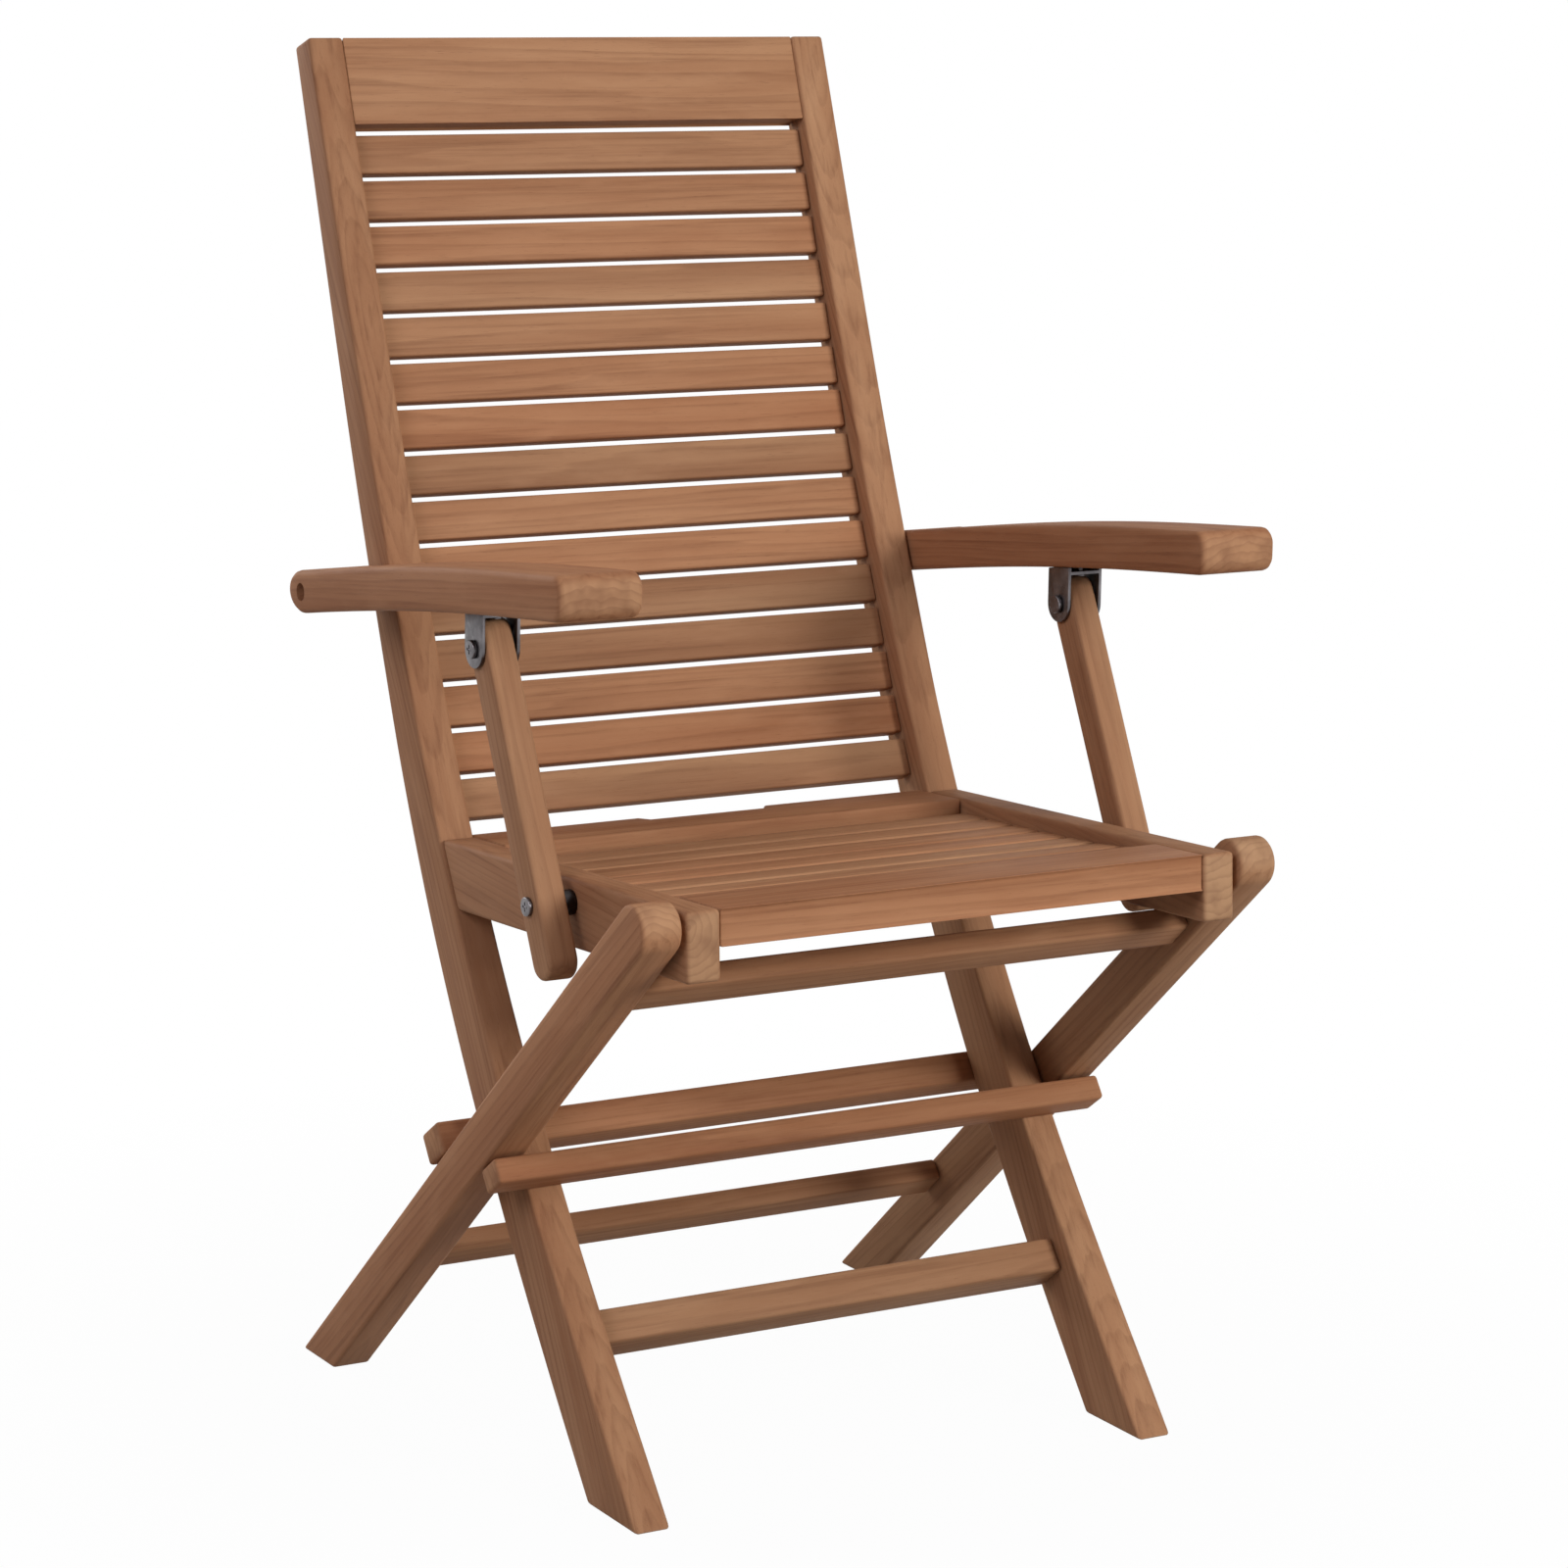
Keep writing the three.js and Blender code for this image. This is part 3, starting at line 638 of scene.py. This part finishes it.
def teak(name):
    """Teak, drawn from the grain that each piece carries."""
    material = bpy.data.materials.new(name)
    nodes = Nodes(material)
    grain = nodes.attribute("GRAIN")["Vector"]
    end = nodes.attribute("END")["Fac"]
    late = late_wood(nodes, grain)
    fibres = nodes.layer(grain, *FIBRES)
    pore = nodes.between(nodes.layer(grain, *PORES), *PORE_RANGE)
    faces = face_colour(nodes, grain, late, fibres, pore)
    colour = nodes.mix(nodes.times(end, END_SHARE), faces, sawn_colour(nodes, grain, late))

    rough = nodes.plus(nodes.between(fibres, *FIBRE_ROUGHNESS), nodes.times(end, END_ROUGHNESS))
    ridge = nodes.plus(nodes.times(fibres, FIBRE_HEIGHT), nodes.times(late, RING_HEIGHT))
    height = nodes.math("SUBTRACT", ridge, nodes.times(pore, PORE_DEPTH))
    bump = nodes.bump(height, TEAK_BUMP, TEAK_BUMP_DEPTH)
    values = {"Base Color": board_tone(nodes, colour), "Roughness": rough, "Normal": bump}
    shader = nodes.add("ShaderNodeBsdfPrincipled", values)
    shader.inputs["Specular IOR Level"].default_value = TEAK_GLOSS
    nodes.add("ShaderNodeOutputMaterial", {"Surface": shader.outputs[0]})
    return material


def steel(name, light, dark):
    """Brushed steel with soft smudges."""
    material = bpy.data.materials.new(name)
    nodes = Nodes(material)
    place = nodes.add("ShaderNodeTexCoord").outputs["Object"]
    brush = nodes.layer(place, *BRUSH)
    smudge = nodes.noise(place, *SMUDGE)
    colour = nodes.mix(nodes.between(smudge, *SMUDGE_RANGE), dark, light)
    colour = nodes.mix(nodes.shown(brush, *BRUSH_DARK), colour, dark)
    rough = nodes.plus(nodes.between(brush, *BRUSH_ROUGHNESS), nodes.between(smudge, *SMUDGE_ROUGHNESS))
    bump = nodes.bump(brush, STEEL_BUMP, STEEL_BUMP_DEPTH)
    values = {"Base Color": colour, "Roughness": rough, "Normal": bump}
    shader = nodes.add("ShaderNodeBsdfPrincipled", values)
    shader.inputs["Metallic"].default_value = 1.0
    nodes.add("ShaderNodeOutputMaterial", {"Surface": shader.outputs[0]})
    return material


TEAK = teak("teak")
STEEL = steel("stainless_steel", STEEL_LIGHT, STEEL_DARK)
SPACER_STEEL = steel("spacer_steel", SPACER_LIGHT, SPACER_DARK)


# Timber pieces


def finish_timber(piece, node, along):
    """Gives a timber its grain along one direction, its teak and its place in the frame."""
    store_grain(piece, along)
    store_tint(piece)
    store_ends(piece, along)
    dress(piece, node, TEAK)


def side_member(node, side, ease=EASE, holes=()):
    """A timber whose outline lies in the side view: stile, leg, rail, arm or strut."""
    low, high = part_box(node)
    outline = softened(outer_outline(node, side))
    piece = prism(f"{node}_timber", outline, low.x, high.x)
    eased(piece, ease)
    for hole in holes:
        cut_away(piece, cylinder("drill", *hole))
    finish_timber(piece, node, longest_way(outline))


def bolt_recess(label, side):
    """The round recess for a bolt's head in an arm's outer face: centre, radius, and both ends."""
    head_low, head_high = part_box(f"arm_bolt_{label}")
    arm_low, arm_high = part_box(f"armrest_{label}")
    radius = (head_high.z - head_low.z) / 2 + HEAD_GAP
    inner = outer_x(head_low, head_high, side) - side * RECESS_BEHIND
    outer = outer_x(arm_low, arm_high, side) + side * DRILL_PAST
    return middle_of(head_low, head_high), radius, inner, outer


def cross_member(node, ease=EASE):
    """A timber that runs across the chair between two side members."""
    half = shoulder_of(node)
    piece = prism(f"{node}_timber", bar_outline(node, half), -half, half)
    eased(piece, ease)
    finish_timber(piece, node, Vector((1, 0, 0)))


def rear_board():
    """The seat's rear board keeps its finger notch: the CAD shape between its shoulders, eased."""
    node = "seat_rear_board"
    half = shoulder_of(node)
    work = welded_copy(node)
    for side in (-1, 1):
        everything = work.verts[:] + work.edges[:] + work.faces[:]
        bmesh.ops.bisect_plane(
            work,
            geom=everything,
            plane_co=(side * (half - PLANE_GAP), 0, 0),
            plane_no=(side, 0, 0),
            clear_outer=True,
        )
        rim = [edge for edge in work.edges if edge.is_boundary]
        bmesh.ops.holes_fill(work, edges=rim, sides=0)
    join_flat_faces(work)
    bmesh.ops.recalc_face_normals(work, faces=work.faces)
    piece = piece_from(work, f"{node}_timber")
    eased(piece, REAR_BOARD_EASE)
    finish_timber(piece, node, Vector((1, 0, 0)))


for label, side in SIDES:
    side_member(f"stile_{label}", side)
    side_member(f"rear_leg_{label}", side, ease=LEG_EASE)
    side_member(f"seat_rail_{label}", side, ease=LEG_EASE)
    side_member(f"strut_{label}", side, ease=STRUT_EASE)
    side_member(f"armrest_{label}", side, ease=ARM_EASE, holes=[bolt_recess(label, side)])

for node in SLATS:
    cross_member(node, ease=SLAT_EASE)
for node in BARS:
    cross_member(node)
cross_member("seat_front_board", ease=FRONT_BOARD_EASE)
rear_board()


# Steel pieces


def cross_recess(piece, centre, face, side):
    """Cuts a cross-shaped driver recess into the outer face of a bolt's head."""
    y, z = centre
    for wide, tall in ((CROSS_REACH, CROSS_SLOT), (CROSS_SLOT, CROSS_REACH)):
        outline = [Vector((y + a * wide / 2, z + b * tall / 2)) for a, b in CORNERS]
        inner = face - side * CROSS_DEEP
        outer = face + side * CROSS_DEEP
        cut_away(piece, prism("cross", outline, min(inner, outer), max(inner, outer)))


def steel_copy(node):
    """A steel piece in its CAD shape, with fine eased edges and a cross in the bolts' heads."""
    work = welded_copy(node)
    join_flat_faces(work)
    piece = piece_from(work, f"{node}_steel")
    eased(piece, STEEL_EASE, STEEL_STEPS)
    if node.startswith(("strut_bolt", "bracket_bolt")):
        low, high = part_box(node)
        side = -1 if node.endswith("left") else 1
        cross_recess(piece, middle_of(low, high), outer_x(low, high, side), side)
    dress(piece, node, SPACER_STEEL if node.startswith("strut_spacer") else STEEL)


for node, slot in slot_of.items():
    if slot == "stainless_steel":
        steel_copy(node)


# Floor, light and camera


def floor():
    """A wide floor that shows white, with the chair's shadow kept near it."""
    mesh = bpy.data.meshes.new("floor")
    mesh.from_pydata([(a * FLOOR_REACH, b * FLOOR_REACH, 0) for a, b in CORNERS], [], [(0, 1, 2, 3)])
    piece = new_piece("floor", mesh)
    material = bpy.data.materials.new("floor_white")
    nodes = Nodes(material)
    matt = nodes.add("ShaderNodeBsdfDiffuse", {"Color": FLOOR_TONE}).outputs[0]
    white = nodes.add("ShaderNodeEmission", {"Color": WHITE, "Strength": 1.0}).outputs[0]
    place = nodes.add("ShaderNodeNewGeometry").outputs["Position"]
    away = nodes.add("ShaderNodeVectorMath", {0: place}, operation="LENGTH").outputs["Value"]
    share = nodes.times(nodes.backdrop_seen(), nodes.between(away, *FLOOR_WHITE))
    mixed = nodes.add("ShaderNodeMixShader", {0: share, 1: matt, 2: white}).outputs[0]
    nodes.add("ShaderNodeOutputMaterial", {"Surface": mixed})
    piece.data.materials.append(material)


def world():
    """A world that lights the chair faintly and shows white behind it."""
    scene = bpy.context.scene
    scene.world = bpy.data.worlds.new("studio")
    nodes = Nodes(scene.world)
    lit = nodes.add("ShaderNodeBackground", {"Color": WORLD_TONE, "Strength": WORLD_STRENGTH}).outputs[0]
    white = nodes.add("ShaderNodeBackground", {"Color": WHITE, "Strength": 1.0}).outputs[0]
    mixed = nodes.add("ShaderNodeMixShader", {0: nodes.backdrop_seen(), 1: lit, 2: white}).outputs[0]
    nodes.add("ShaderNodeOutputWorld", {"Surface": mixed})


def softbox(name, at, aim, size, power, tone):
    """A square lamp that faces a point."""
    lamp = bpy.data.lights.new(name, "AREA")
    lamp.shape = "SQUARE"
    lamp.size = size
    lamp.energy = power
    lamp.color = tone
    piece = new_piece(name, lamp)
    piece.location = at
    piece.rotation_euler = (Vector(aim) - Vector(at)).to_track_quat("-Z", "Y").to_euler()


def camera():
    """The photograph's camera: it looks down and across at the chair, rolled very slightly."""
    data = bpy.data.cameras.new("camera")
    data.sensor_width = SENSOR
    data.lens = SENSOR * FOCAL_PIXELS / PHOTO_PIXELS
    data.shift_y = SHIFT_Y
    data.clip_end = CAMERA_REACH
    piece = new_piece("camera", data)
    level = math.cos(CAMERA_PITCH)
    back = Vector((math.sin(CAMERA_YAW) * level, -math.cos(CAMERA_YAW) * level, math.sin(CAMERA_PITCH)))
    right = (-back).cross(Vector((0, 0, 1))).normalized()
    up = right.cross(-back)
    rolled_right = right * math.cos(CAMERA_ROLL) + up * math.sin(CAMERA_ROLL)
    rolled_up = up * math.cos(CAMERA_ROLL) - right * math.sin(CAMERA_ROLL)
    turn = Matrix((rolled_right, rolled_up, back)).transposed()
    piece.matrix_world = Matrix.Translation(CAMERA_AT) @ turn.to_4x4()
    bpy.context.scene.camera = piece


floor()
world()
for settings in SOFTBOXES:
    softbox(*settings)
camera()
bpy.context.scene.view_settings.view_transform = "Standard"
